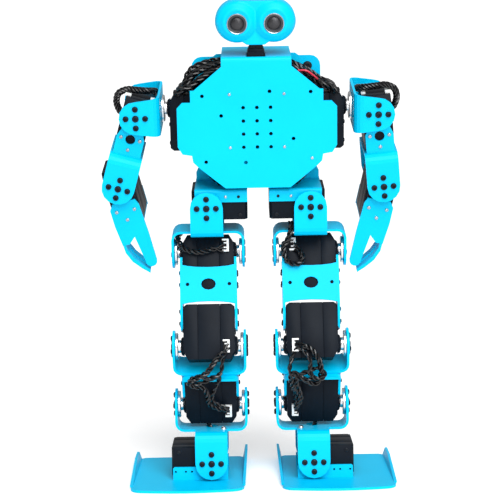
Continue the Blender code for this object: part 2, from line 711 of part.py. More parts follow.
ANKLE_PITCH = Vector((0, 0, ANKLE_ROLL_HEIGHT + ROLL_TO_PITCH))
HIP_PITCH = ANKLE_PITCH + link_offset(SHIN, SHIN_LEAN) + link_offset(THIGH, THIGH_LEAN)
HIP_ORIGIN = HIP_PITCH + link_offset(ROLL_TO_PITCH, TORSO_LEAN)
QUARTER = math.pi / 2
UPRIGHT_SHAFT_ACROSS = (0, 0, QUARTER)
HANGING_SHAFT_ACROSS = (math.pi, 0, QUARTER)
HANGING = (math.pi, 0, math.pi)


def build_torso(torso, servo):
    finish(pelvis_bracket(), "pelvis_bracket", "anodised_cyan", torso)
    finish(chest_plate(), "chest_plate", "anodised_cyan", torso)
    finish(back_plate(), "back_plate", "anodised_cyan", torso)
    finish(controller_board(), "controller_board", "board_green", torso)
    finish(battery_pack(), "battery_pack", "cable_black", torso)
    finish(head_servo(), "head_pan_servo", "servo_plastic", torso)
    for word, side in SIDES.items():
        finish(copy_of(servo), f"hip_roll_servo_{word}", "servo_plastic", torso,
               (0, -side * QUARTER, 0), (side * HIP_HALF, 0, 0))
        finish(copy_of(servo), f"shoulder_pitch_servo_{word}", "servo_plastic", torso, HANGING_SHAFT_ACROSS,
               (side * (SHOULDER_FACE - SERVO_DEPTH / 2), 0, SHOULDER_HEIGHT))


def build_head(torso):
    head = empty("head_pan", torso, (0, -HEAD_AXIS_FORWARD, HEAD_CENTRE))
    finish(head_shell(), "head_shell", "anodised_cyan", head)
    finish(ultrasonic_sensor(), "ultrasonic_sensor", "bright_steel", head)


def build_leg(word, side, robot, torso, masters):
    servo, disc, cross = masters
    hip_roll = empty(f"hip_roll_{word}", torso, (side * HIP_HALF, 0, 0))
    hip_pitch = empty(f"hip_pitch_{word}", hip_roll, (0, 0, -ROLL_TO_PITCH), (THIGH_LEAN - TORSO_LEAN, 0, 0))
    knee = empty(f"knee_{word}", hip_pitch, (0, 0, -THIGH), (SHIN_LEAN - THIGH_LEAN, 0, 0))
    ankle_pitch = empty(f"ankle_pitch_{word}", knee, (0, 0, -SHIN), (-SHIN_LEAN, 0, 0))
    ankle_roll = empty(f"ankle_roll_{word}", ankle_pitch, (0, 0, -ROLL_TO_PITCH))
    finish(copy_of(cross), f"hip_bracket_{word}", "anodised_cyan", hip_roll)
    finish(copy_of(disc), f"hip_roll_horn_{word}", "bright_steel", hip_roll)
    finish(copy_of(servo), f"hip_pitch_servo_{word}", "servo_plastic", hip_pitch, HANGING_SHAFT_ACROSS)
    finish(thigh_bracket(), f"thigh_bracket_{word}", "anodised_cyan", hip_pitch)
    finish(copy_of(servo), f"knee_servo_{word}", "servo_plastic", hip_pitch, UPRIGHT_SHAFT_ACROSS, (0, 0, -THIGH))
    finish(left_right_u(KNEE_TO_WEB), f"knee_bracket_{word}", "anodised_cyan", knee)
    finish(shin_bracket(), f"shin_bracket_{word}", "anodised_cyan", knee)
    finish(copy_of(servo), f"ankle_pitch_servo_{word}", "servo_plastic", knee, UPRIGHT_SHAFT_ACROSS, (0, 0, -SHIN))
    finish(copy_of(cross), f"ankle_bracket_{word}", "anodised_cyan", ankle_pitch,
           (0, math.pi, 0), (0, 0, -ROLL_TO_PITCH))
    finish(copy_of(disc), f"ankle_roll_horn_{word}", "bright_steel", ankle_pitch, at=(0, 0, -ROLL_TO_PITCH))
    hip_axis = HIP_PITCH + Vector((HIP_HALF, 0, 0))
    hip_route = [hip_axis + Vector(p) for p in HIP_ROUTES[word]]
    cable(f"hip_cable_{word}", outwards(hip_route, side), CABLE_RADIUS, robot)
    cable(f"knee_cable_{word}", KNEE_ROUTES[word], CABLE_RADIUS, robot)
    cable(f"ankle_cable_{word}", outwards(ANKLE_ROUTE, side), CABLE_RADIUS, ankle_pitch)
    finish(copy_of(servo), f"ankle_roll_servo_{word}", "servo_plastic", ankle_roll, (0, side * QUARTER, 0))
    finish(sided(foot_plate(), side), f"foot_plate_{word}", "anodised_cyan", ankle_roll)


def build_arm(word, side, torso, masters):
    servo, disc, _ = masters
    pitch = empty(f"shoulder_pitch_{word}", torso, (side * SHOULDER_FACE, 0, SHOULDER_HEIGHT), (ARM_SWING, 0, 0))
    reach = side * (SHOULDER_ROLL_X - SHOULDER_FACE)
    out = side * -UPPER_ARM_OUT[word]
    roll = empty(f"shoulder_roll_{word}", pitch, (reach, 0, 0), (0, out, 0))
    elbow = empty(f"elbow_{word}", roll, (0, 0, -UPPER_ARM), (0, side * FOREARM_IN[word], 0))
    finish(sided(shoulder_bracket(), side), f"shoulder_bracket_{word}", "anodised_cyan", pitch, at=(reach, 0, 0))
    finish(copy_of(disc), f"shoulder_roll_horn_{word}", "bright_steel", pitch, at=(reach, 0, 0))
    arm_cable = [(x + SHOULDER_ROLL_X - SHOULDER_FACE, y, z) for x, y, z in ARM_ROUTE]
    cable(f"arm_cable_{word}", outwards(arm_cable, side), CABLE_RADIUS, pitch)
    cable(f"torso_cable_{word}", outwards(TORSO_ROUTE, side), BUNDLE_RADIUS, torso)
    finish(copy_of(servo), f"shoulder_roll_servo_{word}", "servo_plastic", roll, HANGING)
    finish(upper_arm_bracket(), f"upper_arm_bracket_{word}", "anodised_cyan", roll)
    finish(copy_of(disc), f"elbow_horn_{word}", "bright_steel", roll, at=(0, 0, -UPPER_ARM))
    finish(copy_of(servo), f"elbow_servo_{word}", "servo_plastic", elbow, HANGING)
    finish(sided(hand(), side), f"hand_{word}", "anodised_cyan", elbow)


def main():
    masters = (shared("servo", servo_case), shared("horn", horn), shared("cross_bracket", cross_bracket))
    robot = empty("robot", None, (MIDDLE_X, MIDDLE_Y, 0))
    torso = empty("torso", robot, HIP_ORIGIN, (TORSO_LEAN, 0, 0))
    build_torso(torso, masters[0])
    build_head(torso)
    for word, side in SIDES.items():
        build_leg(word, side, robot, torso, masters)
        build_arm(word, side, torso, masters)
    for mesh in masters:
        bpy.data.meshes.remove(mesh)


main()
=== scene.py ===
"""Looks for the humanoid robot kit: detailed servos, horns, screws, connectors, twisted leads and a finished
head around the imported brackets.

Frames below are in millimetres, and every mesh is brought to metres when it is finished. The robot faces -Y,
+Z is up and +X is the robot's own left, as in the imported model.
"""

import json
import math

import bmesh
import bpy
from mathutils import Euler, Matrix, Vector


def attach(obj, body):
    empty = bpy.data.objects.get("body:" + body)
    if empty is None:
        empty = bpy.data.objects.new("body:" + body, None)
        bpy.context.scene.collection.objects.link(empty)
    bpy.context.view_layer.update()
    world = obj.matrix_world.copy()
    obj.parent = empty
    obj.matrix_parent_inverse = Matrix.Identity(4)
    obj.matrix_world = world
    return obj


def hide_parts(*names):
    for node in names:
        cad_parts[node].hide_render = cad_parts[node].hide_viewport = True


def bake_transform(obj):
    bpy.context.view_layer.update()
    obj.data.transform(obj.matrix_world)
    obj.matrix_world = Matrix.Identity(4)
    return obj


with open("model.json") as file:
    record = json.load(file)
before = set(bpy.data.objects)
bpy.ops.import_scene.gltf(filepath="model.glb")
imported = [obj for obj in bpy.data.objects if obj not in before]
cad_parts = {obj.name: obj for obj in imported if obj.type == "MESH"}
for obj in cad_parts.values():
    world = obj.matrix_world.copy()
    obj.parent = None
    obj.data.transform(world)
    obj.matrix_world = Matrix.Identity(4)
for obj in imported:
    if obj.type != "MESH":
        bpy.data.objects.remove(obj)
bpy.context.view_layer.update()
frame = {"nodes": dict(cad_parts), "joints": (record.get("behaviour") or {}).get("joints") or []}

MM = 0.001
SIDES = {"left": 1, "right": -1}

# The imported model's driving dimensions
SHEET = 1.8
SERVO_NEAR = 11.0
SERVO_FAR = 30.0
SERVO_WIDTH = 21.0
SERVO_DEPTH = 38.0
BOSS_HEIGHT = 2.0
EAR_INSIDE = 25.4
EAR_OUTSIDE = EAR_INSIDE + SHEET
HORN_RADIUS = 10.0
HORN_SCREW_CIRCLE = 7.0
CASE_OUTSIDE = SERVO_DEPTH / 2 + 0.3 + SHEET
SHOULDER_FACE = 63.4
SHOULDER_HEIGHT = 70.0
SHOULDER_WEB_X = 69.65
CHEST_FRONT = 27.0
BACK_PLATE_REAR = 12.6
EYE_X = 13.0
EYE_HEIGHT = -1.0
FOREARM_IN = {"left": 16.7, "right": 29.3}
STRAND_RADIUS = 0.88

JOINTS = {joint["name"]: joint for joint in frame["joints"]}


# ---------------------------------------------------------------- frames

def spot(name):
    return Vector(JOINTS[name]["pos_m"]) / MM


def axes(origin, up, across=(1, 0, 0)):
    """A frame at the origin whose z is up and whose x is nearest to across."""
    z = Vector(up).normalized()
    y = z.cross(Vector(across)).normalized()
    made = Matrix((y.cross(z), y, z)).transposed().to_4x4()
    made.translation = Vector(origin)
    return made


def turned(x=0.0, y=0.0, z=0.0):
    return Euler([math.radians(a) for a in (x, y, z)]).to_matrix().to_4x4()


def at(x, y, z):
    return Matrix.Translation((x, y, z))


def body_frames():
    """One frame for each body, at the joint that carries it and along its link."""
    up = Vector(JOINTS["head_pan"]["axis"])
    between_hips = (spot("hip_roll_left") + spot("hip_roll_right")) / 2
    frames = {"torso": axes(between_hips, up), "head": axes(spot("head_pan"), up)}
    for word, side in SIDES.items():
        hip, pitch, knee = (spot(f"{name}_{word}") for name in ("hip_roll", "hip_pitch", "knee"))
        ankle, roll, elbow = (spot(f"{name}_{word}") for name in ("ankle_pitch", "shoulder_roll", "elbow"))
        frames[f"hip_{word}"] = axes(hip, up)
        frames[f"thigh_{word}"] = axes(pitch, pitch - knee)
        frames[f"shin_{word}"] = axes(knee, knee - ankle)
        frames[f"ankle_{word}"] = axes(ankle, (0, 0, 1))
        frames[f"foot_{word}"] = axes(spot(f"ankle_roll_{word}"), (0, 0, 1))
        shaft = -side * Vector(JOINTS[f"shoulder_roll_{word}"]["axis"])
        frames[f"shoulder_{word}"] = axes(roll, Vector((1, 0, 0)).cross(shaft))
        frames[f"upper_arm_{word}"] = axes(roll, roll - elbow, shaft.cross(roll - elbow))
        forearm = frames[f"upper_arm_{word}"].to_3x3().to_4x4() @ turned(y=side * FOREARM_IN[word])
        frames[f"forearm_{word}"] = Matrix.Translation(elbow) @ forearm
    return frames


FRAMES = body_frames()
THIGH = (spot("hip_pitch_left") - spot("knee_left")).length
SHIN = (spot("knee_left") - spot("ankle_pitch_left")).length
UPPER_ARM = (spot("shoulder_roll_left") - spot("elbow_left")).length
ROLL_TO_PITCH = (spot("hip_roll_left") - spot("hip_pitch_left")).length


# ---------------------------------------------------------------- camera, floor and light

LENS = 96.4
SHIFT_UP = -0.08
CAMERA_AT = (-0.9, -1000.0, 257.3)
LOOKS_DOWN = 3.18
ROLLED = -1.04


def camera():
    made = bpy.data.cameras.new("camera")
    made.lens = LENS
    made.shift_y = SHIFT_UP
    eye = bpy.data.objects.new("camera", made)
    bpy.context.scene.collection.objects.link(eye)
    look = turned(x=90 - LOOKS_DOWN)
    eye.matrix_world = Matrix.Translation(Vector(CAMERA_AT) * MM) @ look @ turned(z=ROLLED)
    bpy.context.scene.camera = eye


def softbox(name, position, target, size, watts):
    lamp = bpy.data.lights.new(name, "AREA")
    lamp.shape = "RECTANGLE"
    lamp.size, lamp.size_y = size
    lamp.energy = watts
    made = bpy.data.objects.new(name, lamp)
    bpy.context.scene.collection.objects.link(made)
    made.location = position
    made.rotation_mode = "QUATERNION"
    made.rotation_quaternion = (Vector(target) - Vector(position)).to_track_quat("-Z", "Y")


WORLD_LIGHT = 0.42
BACKDROP = 1.2
SUN = 3.45
SUN_SPREAD = 50
SUN_TILT = (46, 12)
KEY_WATTS = 8.0
FLOOR_SIZE = 12


def studio():
    scene = bpy.context.scene
    scene.view_settings.view_transform = "Standard"
    world = bpy.data.worlds.new("studio")
    scene.world = world
    world.use_nodes = True
    tree = world.node_tree
    background = tree.nodes["Background"]
    background.inputs["Color"].default_value = (1.0, 1.0, 1.0, 1.0)
    seen = tree.nodes.new("ShaderNodeLightPath")
    strength = node(tree, "ShaderNodeMapRange", To_Min=WORLD_LIGHT, To_Max=BACKDROP)
    tree.links.new(seen.outputs["Is Camera Ray"], strength.inputs["Value"])
    tree.links.new(strength.outputs["Result"], background.inputs["Strength"])
    sun = bpy.data.lights.new("overhead_sun", "SUN")
    sun.energy = SUN
    sun.angle = math.radians(SUN_SPREAD)
    lamp = bpy.data.objects.new("overhead_sun", sun)
    bpy.context.scene.collection.objects.link(lamp)
    lamp.rotation_euler = (math.radians(SUN_TILT[0]), 0, math.radians(SUN_TILT[1]))
    middle = (0, 0, 0.18)
    softbox("key_light", (0.35, -1.5, 0.6), middle, (0.7, 0.7), KEY_WATTS)
    bpy.ops.mesh.primitive_plane_add(size=FLOOR_SIZE, location=(0, 0, -0.0002))
    floor = bpy.context.object
    floor.name = "floor"
    floor.data.materials.append(MATERIALS["floor"])


# ---------------------------------------------------------------- materials

def node(tree, kind, **inputs):
    made = tree.nodes.new(kind)
    for name, value in inputs.items():
        made.inputs[name.replace("_", " ")].default_value = value
    return made


def material(name, dark, light, rough, grain, grain_size, bump=0.0, metallic=0.0, **fixed):
    """A surface whose colour and roughness wander a little and whose grain has real relief.

    Sizes are in metres: grain_size is the width of the relief's grain and bump is its depth.
    """
    made = bpy.data.materials.new(name)
    made.use_nodes = True
    tree = made.node_tree
    shader = tree.nodes["Principled BSDF"]
    place = node(tree, "ShaderNodeTexCoord")
    broad = node(tree, "ShaderNodeTexNoise", Scale=38.0, Detail=4.0, Roughness=0.55)
    fine = node(tree, "ShaderNodeTexNoise", Scale=1.0 / grain_size, Detail=3.0, Roughness=0.6)
    for texture in (broad, fine):
        tree.links.new(place.outputs["Object"], texture.inputs["Vector"])
    colour = tree.nodes.new("ShaderNodeValToRGB")
    colour.color_ramp.elements[0].color = (*dark, 1)
    colour.color_ramp.elements[1].color = (*light, 1)
    colour.color_ramp.elements[0].position = 0.3
    colour.color_ramp.elements[1].position = 0.7
    tree.links.new(broad.outputs["Fac"], colour.inputs["Fac"])
    tree.links.new(colour.outputs["Color"], shader.inputs["Base Color"])
    spread = node(tree, "ShaderNodeMapRange", To_Min=rough[0], To_Max=rough[1])
    tree.links.new(fine.outputs["Fac"], spread.inputs["Value"])
    tree.links.new(spread.outputs["Result"], shader.inputs["Roughness"])
    if bump:
        relief = node(tree, "ShaderNodeBump", Strength=grain, Distance=bump)
        tree.links.new(fine.outputs["Fac"], relief.inputs["Height"])
        tree.links.new(relief.outputs["Normal"], shader.inputs["Normal"])
    shader.inputs["Metallic"].default_value = metallic
    for key, value in fixed.items():
        shader.inputs[key.replace("_", " ")].default_value = value
    return made


def make_materials():
    return {
        "floor": material("floor", (0.88, 0.88, 0.88), (0.92, 0.92, 0.92), (0.6, 0.75), 0.2, 0.002, 0.00005,
                          Emission_Color=(1, 1, 1, 1), Emission_Strength=0.22),
        "cyan": material("cyan_paint", (0.0, 0.45, 0.72), (0.0, 0.475, 0.76), (0.3, 0.42), 0.35, 0.0004,
                         0.00002, Specular_IOR_Level=0.07),
        "servo": material("servo_plastic", (0.003, 0.005, 0.009), (0.006, 0.009, 0.014), (0.34, 0.5), 0.5,
                          0.0003, 0.00003, Specular_IOR_Level=0.07),
        "servo_dark": material("servo_core", (0.004, 0.004, 0.005), (0.006, 0.006, 0.008), (0.5, 0.7), 0.3,
                               0.0005, 0.00002, Specular_IOR_Level=0.15),
        "steel": material("horn_metal", (0.62, 0.63, 0.65), (0.78, 0.79, 0.8), (0.18, 0.34), 0.3, 0.0002,
                          0.00001, metallic=1.0),
        "screw": material("screw_steel", (0.3, 0.33, 0.36), (0.5, 0.53, 0.56), (0.2, 0.34), 0.3, 0.0002,
                          0.00001, metallic=1.0),
        "black_screw": material("black_screw", (0.006, 0.008, 0.012), (0.012, 0.015, 0.02), (0.25, 0.4), 0.3,
                                0.0002, 0.00001, Specular_IOR_Level=0.12),
        "wire": material("wire_jacket", (0.002, 0.002, 0.003), (0.004, 0.004, 0.005), (0.16, 0.26), 0.3,
                         0.0008, 0.00002, Specular_IOR_Level=0.45),
        "red_wire": material("red_wire_jacket", (0.45, 0.01, 0.03), (0.6, 0.03, 0.06), (0.25, 0.4), 0.3,
                             0.0008, 0.00002),
        "white": material("connector_nylon", (0.7, 0.7, 0.69), (0.85, 0.85, 0.84), (0.35, 0.5), 0.3, 0.0004,
                          0.00002, Subsurface_Weight=0.1),
        "board": material("board_mask", (0.004, 0.05, 0.025), (0.008, 0.08, 0.04), (0.2, 0.4), 0.4, 0.001,
                          0.00004),
        "gold": material("pad_gold", (0.7, 0.48, 0.16), (0.85, 0.6, 0.25), (0.25, 0.4), 0.2, 0.0004, 0.00001,
                         metallic=1.0),
        "ring": material("eye_ring", (0.012, 0.014, 0.018), (0.02, 0.024, 0.03), (0.3, 0.45), 0.3, 0.0003,
                         0.00002),
        "mesh": material("eye_mesh", (0.012, 0.012, 0.014), (0.05, 0.05, 0.055), (0.25, 0.4), 0.8, 0.0007,
                         0.00012, metallic=0.6),
        "wrap": material("battery_wrap", (0.006, 0.007, 0.009), (0.012, 0.013, 0.016), (0.25, 0.5), 0.5,
                         0.004, 0.00025),
    }


# ---------------------------------------------------------------- mesh building

class Shape:
    """Gathers solids, given in millimetres in some frame, into one mesh."""

    def __init__(self):
        self.points = []
        self.faces = []
        self.face_surfaces = []
        self.surfaces = []

    def solid(self, points, faces, surface, to, bevel=0.0, segments=2):
        """A closed solid, its edges rounded where a bevel is given."""
        mesh = bmesh.new()
        verts = [mesh.verts.new(p) for p in points]
        for face in faces:
            mesh.faces.new([verts[i] for i in face])
        bmesh.ops.recalc_face_normals(mesh, faces=mesh.faces)
        if bevel:
            bmesh.ops.bevel(mesh, geom=mesh.edges, offset=bevel, segments=segments, profile=0.5,
                            affect="EDGES", clamp_overlap=True)
        if surface not in self.surfaces:
            self.surfaces.append(surface)
        start = len(self.points)
        mesh.verts.index_update()
        self.points += [to @ vert.co for vert in mesh.verts]
        self.faces += [[start + vert.index for vert in face.verts] for face in mesh.faces]
        self.face_surfaces += [self.surfaces.index(surface)] * len(mesh.faces)
        mesh.free()

    def box(self, low, high, surface, to, bevel=0.0, segments=2):
        (x0, y0, z0), (x1, y1, z1) = low, high
        points = [(x, y, z) for x in (x0, x1) for y in (y0, y1) for z in (z0, z1)]
        faces = [(0, 1, 3, 2), (4, 6, 7, 5), (0, 4, 5, 1), (2, 3, 7, 6), (0, 2, 6, 4), (1, 5, 7, 3)]
        self.solid(points, faces, surface, to, bevel, segments)

    def prism(self, outline, low, high, surface, to, bevel=0.0, segments=2):
        """An outline in x and z, extruded along y."""
        count = len(outline)
        points = [(x, y, z) for y in (low, high) for x, z in outline]
        faces = [tuple(range(count)), tuple(range(2 * count - 1, count - 1, -1))]
        faces += [(i, (i + 1) % count, count + (i + 1) % count, count + i) for i in range(count)]
        self.solid(points, faces, surface, to, bevel, segments)

    def rings(self, rings, surface, to, hollow=False):
        """A closed skin over rings of points, each joined to the next. A hollow one also joins the last to
        the first. A ring of one point closes an end."""
        points = [point for ring in rings for point in ring]
        starts = [sum(len(ring) for ring in rings[:i]) for i in range(len(rings))]
        count = max(len(ring) for ring in rings)
        faces = []
        for i in range(len(rings) if hollow else len(rings) - 1):
            after = (i + 1) % len(rings)
            for k in range(count):
                corners = []
                for ring, step in ((i, k), (i, k + 1), (after, k + 1), (after, k)):
                    corners.append(starts[ring] + step % len(rings[ring]))
                corners = list(dict.fromkeys(corners))
                if len(corners) > 2:
                    faces.append(corners)
        for i in () if hollow else (0, len(rings) - 1):
            if len(rings[i]) > 1:
                faces.append([starts[i] + k for k in range(count)])
        self.solid(points, faces, surface, to)

    def lathe(self, profile, surface, to, segments=24, hollow=False):
        """A solid of revolution about y. The profile lists (radius, y) from end to end, or round a hoop."""
        angles = [2 * math.pi * i / segments for i in range(segments)]
        rings = []
        for radius, y in profile:
            if radius:
                rings.append([(radius * math.cos(a), y, radius * math.sin(a)) for a in angles])
            else:
                rings.append([(0, y, 0)])
        self.rings(rings, surface, to, hollow)

    def tube(self, points, radius, surface, to, sides=8):
        """A round tube with capped ends along a line of points."""
        rings = []
        side = None
        for i, point in enumerate(points):
            ahead = (points[min(i + 1, len(points) - 1)] - points[max(i - 1, 0)]).normalized()
            side = side or ahead.orthogonal()
            side = (side - ahead * side.dot(ahead)).normalized()
            other = ahead.cross(side)
            angles = [2 * math.pi * k / sides for k in range(sides)]
            rings.append([point + (side * math.cos(a) + other * math.sin(a)) * radius for a in angles])
        self.rings(rings, surface, to)

    def finish(self, name, body=None, slot=None):
        mesh = bpy.data.meshes.new(name)
        mesh.from_pydata([point * MM for point in self.points], [], self.faces)
        mesh.polygons.foreach_set("material_index", self.face_surfaces)
        for surface in self.surfaces:
            mesh.materials.append(MATERIALS[surface])
        mesh.shade_smooth()
        mesh.set_sharp_from_angle(angle=math.radians(32))
        made = bpy.data.objects.new(name, mesh)
        bpy.context.scene.collection.objects.link(made)
        if body:
            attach(made, body)
        return made


# ---------------------------------------------------------------- servos, horns and screws

def servo(shape, to):
    """A servo about its shaft, which runs along y: a three-part case with open seams, bosses and screws."""
    half, depth, near, far = SERVO_WIDTH / 2, SERVO_DEPTH / 2, -SERVO_NEAR, SERVO_FAR
    seam, gap = 8.2, 0.14
    turn = to @ turned(z=90)
    cap = [(-depth, -5.0), (-depth + 3.5, near), (-seam - gap, near), (-seam - gap, far), (-depth + 2.5, far),
           (-depth, far - 2.0)]
    middle = [(-seam, near), (seam, near), (seam, far), (-seam, far)]
    other = [(-x, z) for x, z in reversed(cap)]
    for outline in (cap, middle, other):
        outline = [(-x, z) for x, z in reversed(outline)]
        shape.prism(outline, -half, half, "servo", turn, 0.3)
    inner = depth - 4.5
    core = [(-inner, near + 1.0), (inner, near + 1.0), (inner, far - 1.0), (-inner, far - 1.0)]
    shape.prism(core, -half + 0.9, half - 0.9, "servo_dark", turn)
    for way in (1, -1):
        face = to @ (turned(z=180) if way < 0 else Matrix.Identity(4))
        top = -depth - BOSS_HEIGHT
        boss = [(0, top), (5.6, top), (6.6, top + 0.5), (7.0, -depth - 0.6), (7.4, -depth + 0.2),
                (0, -depth + 0.4)]
        shape.lathe(boss, "servo", face)
        for x, z in ((-6.9, 24.6), (6.9, 24.6), (-8.3, 10.6), (8.3, 10.6)):
            socket_screw(shape, face @ at(x, -depth, z), 1.5, 0.7)


def socket_screw(shape, to, radius, height, surface="black_screw"):
    """A button head that stands out along -y, with a six-sided socket in it."""
    count = 18
    rings = []
    for share, y in ((1.0, 0.15), (1.0, -0.25 * height), (0.86, -0.75 * height), (0.58, -height)):
        angles = [2 * math.pi * i / count for i in range(count)]
        rings.append([(share * radius * math.cos(a), y, share * radius * math.sin(a)) for a in angles])
    socket = 0.5 * radius
    corners = [(socket * math.cos(math.pi * i / 3), socket * math.sin(math.pi * i / 3)) for i in range(7)]
    for y in (-height, -0.35 * height):
        ring = []
        for i in range(count):
            side, share = divmod(i, 3)
            (x0, z0), (x1, z1) = corners[side], corners[side + 1]
            ring.append((x0 + (x1 - x0) * share / 3, y, z0 + (z1 - z0) * share / 3))
        rings.append(ring)
    shape.rings(rings, surface, to)


def horn(shape, to, face=EAR_INSIDE, start=SERVO_DEPTH / 2 + BOSS_HEIGHT):
    """The metal disc between a servo's boss and a bracket's ear, towards -y."""
    neck_radius = 4.8
    chamfered = HORN_RADIUS - 0.5
    profile = [(0, -start - 0.1), (4.6, -start - 0.1), (neck_radius, -start - 0.6),
               (neck_radius, -face + 2.4), (chamfered, -face + 2.4), (HORN_RADIUS, -face + 1.9),
               (HORN_RADIUS, -face + 0.6),
               (chamfered, -face + 0.1), (0, -face + 0.1)]
    shape.lathe(profile, "steel", to, 32)


def ear_screws(shape, to, face=EAR_OUTSIDE, height=1.5):
    """Four screws on the horn's circle and one in the middle, outside a bracket's ear at -y."""
    spots = [(0, 0, 2.5)]
    for angle in (0, math.pi / 2, math.pi, -math.pi / 2):
        spots.append((HORN_SCREW_CIRCLE * math.cos(angle), HORN_SCREW_CIRCLE * math.sin(angle), 2.2))
    for x, z, radius in spots:
        socket_screw(shape, to @ at(x, -face, z), radius, height)


def place_servos():
    upright, hanging = turned(z=90), turned(x=180, z=90)
    for word, side in SIDES.items():
        torso, thigh, shin = FRAMES["torso"], FRAMES[f"thigh_{word}"], FRAMES[f"shin_{word}"]
        shoulder = torso @ at(side * (SHOULDER_FACE - SERVO_DEPTH / 2), 0, SHOULDER_HEIGHT)
        placed = {
            "hip_roll_servo": ("torso", torso @ at(side * 38.0, 0, 0) @ turned(y=-90 * side)),
            "shoulder_pitch_servo": ("torso", shoulder @ hanging),
            "hip_pitch_servo": (f"thigh_{word}", thigh @ hanging),
            "knee_servo": (f"thigh_{word}", thigh @ at(0, 0, -THIGH) @ upright),
            "ankle_pitch_servo": (f"shin_{word}", shin @ at(0, 0, -SHIN) @ upright),
            "ankle_roll_servo": (f"foot_{word}", FRAMES[f"foot_{word}"] @ turned(y=90 * side)),
            "shoulder_roll_servo": (f"upper_arm_{word}", FRAMES[f"upper_arm_{word}"] @ turned(x=180, z=180)),
            "elbow_servo": (f"forearm_{word}", FRAMES[f"forearm_{word}"] @ turned(x=180, z=180)),
        }
        for name, (body, to) in placed.items():
            shape = Shape()
            servo(shape, to)
            piece = shape.finish(f"{name}_{word}_detail", body, "servo_plastic")
            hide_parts(f"{name}_{word}")


def place_horns():
    """Each joint's discs and screws turn with the bracket whose ears they hold."""
    for word, side in SIDES.items():
        across = turned(z=90)
        ankle = FRAMES[f"ankle_{word}"]
        joints = {
            "hip_roll": (f"hip_{word}", FRAMES[f"hip_{word}"], "hip_roll_horn"),
            "hip_pitch": (f"hip_{word}", FRAMES[f"hip_{word}"] @ at(0, 0, -ROLL_TO_PITCH) @ across, None),
            "knee": (f"shin_{word}", FRAMES[f"shin_{word}"] @ across, None),
            "ankle_pitch": (f"ankle_{word}", ankle @ across, None),
            "ankle_roll": (f"ankle_{word}", ankle @ at(0, 0, -ROLL_TO_PITCH), "ankle_roll_horn"),
            "shoulder_roll": (f"shoulder_{word}", FRAMES[f"shoulder_{word}"], "shoulder_roll_horn"),
            "elbow": (f"upper_arm_{word}", FRAMES[f"upper_arm_{word}"] @ at(0, 0, -UPPER_ARM), "elbow_horn"),
        }
        for name, (body, to, replaced) in joints.items():
            discs, screws = Shape(), Shape()
            for way in (0, 180):
                horn(discs, to @ turned(z=way))
                ear_screws(screws, to @ turned(z=way), height=0.7 if name == "hip_pitch" else 1.5)
            piece = discs.finish(f"{name}_horns_{word}", body, "bright_steel")
            screws.finish(f"{name}_screws_{word}", body, "servo_plastic")
            if replaced:
                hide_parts(f"{replaced}_{word}")


# ---------------------------------------------------------------- leads

def smooth_line(points, spacing):
    """Points along a Catmull-Rom curve through the given ones, about this far apart."""
    points = [Vector(p) for p in points]
    ends = [2 * points[0] - points[1]] + points + [2 * points[-1] - points[-2]]
    line = [points[0]]
    for before, start, end, after in zip(ends, ends[1:], ends[2:], ends[3:]):
        steps = max(1, round((end - start).length / spacing))
        for i in range(1, steps + 1):
            t = i / steps
            line.append(0.5 * (2 * start + (end - before) * t
                               + (2 * before - 5 * start + 4 * end - after) * t * t
                               + (3 * start - before - 3 * end + after) * t ** 3))
    return line


def twisted(shape, points, to, strands=3, lay=1.35, pitch=13.0, spread=None, surface="wire", start_turn=0.0):
    """Thin wires twisted round each other along a line. spread fans out their first few millimetres, which go
    into a connector."""
    line = smooth_line(points, 0.9)
    side = None
    centres = [[] for _ in range(strands)]
    travelled = 0.0
    for i, point in enumerate(line):
        ahead = (line[min(i + 1, len(line) - 1)] - line[max(i - 1, 0)]).normalized()
        if i:
            travelled += (point - line[i - 1]).length
        if side is None:
            side = ahead.orthogonal().normalized()
        side = (side - ahead * side.dot(ahead)).normalized()
        other = ahead.cross(side)
        share = min(1.0, travelled / 9.0) if spread is not None else 1.0
        share = share * share * (3 - 2 * share)
        for k in range(strands):
            angle = start_turn + 2 * math.pi * (travelled / pitch + k / strands)
            wound = (side * math.cos(angle) + other * math.sin(angle)) * lay
            fan = Vector(spread) * (k - (strands - 1) / 2) if spread is not None else wound
            centres[k].append(point + wound * share + fan * (1 - share))
    for centre in centres:
        shape.tube(centre, STRAND_RADIUS, surface, to, 7)


# Hip routes are about the hip pitch joint, with x outwards. Knee routes and loops are in the robot's own
# frame, so left and right are written out. The other routes are in a body's frame, with x outwards.
HIP_ROUTES = {
    "left": [(-11.9, -12.6, 3.8), (-7.5, -15, 0), (-5.6, -17, -5), (-9.5, -18.4, -8.6), (-15.5, -18.4, -7.6),
             (-19.4, -17.5, -1.5), (-19.4, -17, 4.5), (-16.4, -17.6, 10), (-14.5, -18.2, 16),
             (-14.2, -19, 23)],
    "right": [(-11.5, -12.6, 3.8), (-3, -14, 2.8), (5.6, -14.3, 1), (14, -14, 2), (19.6, -13.2, 5.6),
              (22.2, -8, 10.8), (22.3, -1, 13.2), (22.2, 5, 13.4), (21.6, 11, 13)],
}
KNEE_ROUTES = {
    "left": [(25.6, -31.2, 102.5), (33.3, -34.5, 103), (40, -36, 97), (43.4, -35.5, 88.4), (43.2, -33.5, 80),
             (39.2, -31.5, 74.5), (32, -32.5, 77.5), (24.6, -34.5, 83), (21.4, -34, 79.6), (24, -27.5, 70.5),
             (27.5, -20.5, 61.5), (25.6, -14, 53.2)],
    "right": [(-23.8, -31.2, 102.5), (-32, -36, 95.5), (-40.2, -36, 84.5), (-49.8, -34, 79.5),
              (-53.4, -31.5, 76.5), (-49.5, -30, 73.5), (-43.5, -28.5, 72.5), (-40.2, -24.5, 66.5),
              (-39, -19.5, 58.6), (-32, -16.5, 54.2), (-24.6, -14, 53)],
}
